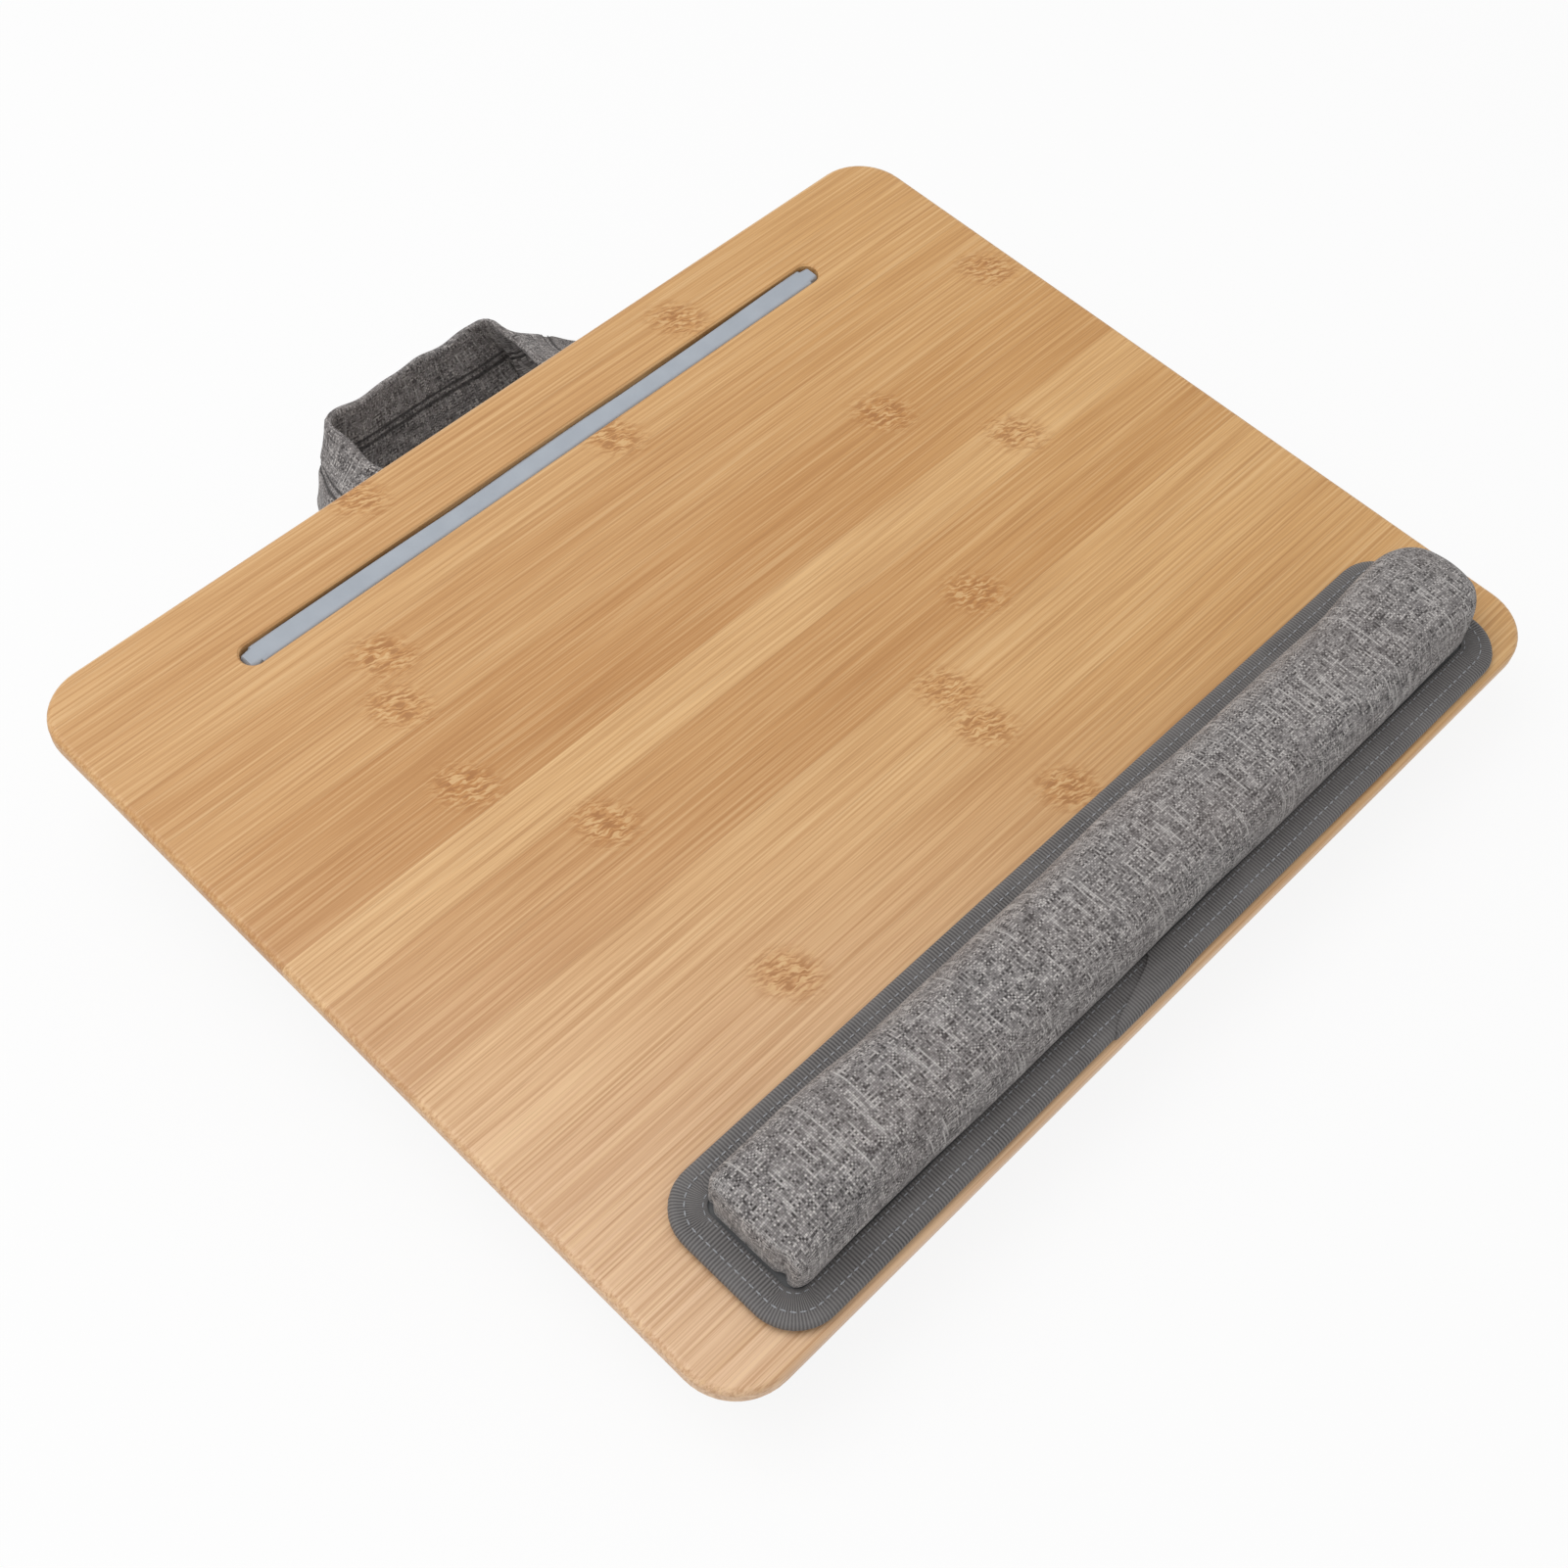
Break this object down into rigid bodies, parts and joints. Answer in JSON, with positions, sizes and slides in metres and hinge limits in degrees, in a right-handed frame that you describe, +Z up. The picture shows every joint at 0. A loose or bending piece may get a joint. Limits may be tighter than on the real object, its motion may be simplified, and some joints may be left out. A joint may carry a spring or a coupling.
{
  "type": "lap_desk",
  "caption": "Lap desk: bamboo board with a device slot and padded wrist rest, on a two-bolster wedge cushion with a cloth carry handle",
  "frame": {"origin": "on the surface that the desk stands on, under the middle of its bounding box", "axes": "+X to the user's right, +Y from the user to the rear edge, +Z up; the board rises 5 degrees towards +Y"},
  "size_m": [0.42, 0.3958, 0.0692],
  "materials": {
    "bamboo": "satin clear lacquer over edge-glued strips",
    "heather_cloth": "heathered woven cloth",
    "strap_cloth": "heathered woven cloth, double stitched",
    "pale_lining": "smooth lining cloth",
    "binding_tape": "ribbed binding tape with a running stitch",
    "base_cloth": "stiffened cloth",
    "hook_tape": "fine plastic hooks on tape",
    "loop_tape": "brushed loops on tape",
    "webbing": "stiff webbing",
    "foam": "open-cell foam",
    "wadding": "polyester fibre"
  },
  "bodies": {
    "cushion": {"cushion_loop_strips": "loop_tape", "cushion_top_panel": "pale_lining", "cushion_side_band": "heather_cloth", "cushion_foam_sheet": "foam", "bolster_cover": "heather_cloth", "front_bolster_filling": "wadding", "rear_bolster_filling": "wadding", "handle_sewn_ends": "strap_cloth"},
    "board": {"desk_board": "bamboo", "board_hook_strips": "hook_tape", "rest_hook_strips": "hook_tape"},
    "wrist_rest": {"rest_loop_strips": "loop_tape", "rest_base_sheet": "base_cloth", "rest_binding_tape": "binding_tape", "rest_roll_cover": "heather_cloth", "rest_foam_core": "foam"},
    "handle": {"handle_strap_cover": "strap_cloth", "handle_webbing_core": "webbing"}
  },
  "joints": [
    {"name": "board_lift", "type": "slide", "parent": "cushion", "child": "board", "axis": [0, -0.0872, 0.9962], "range_m": [0, 0.06]},
    {"name": "wrist_rest_lift", "type": "slide", "parent": "board", "child": "wrist_rest", "axis": [0, -0.0872, 0.9962], "range_m": [0, 0.05]},
    {"name": "handle_swing", "type": "hinge", "parent": "cushion", "child": "handle", "pos_m": [0, 0.13441, 0.0439], "axis": [1, 0, 0], "range_deg": [0, 42]}
  ]
}
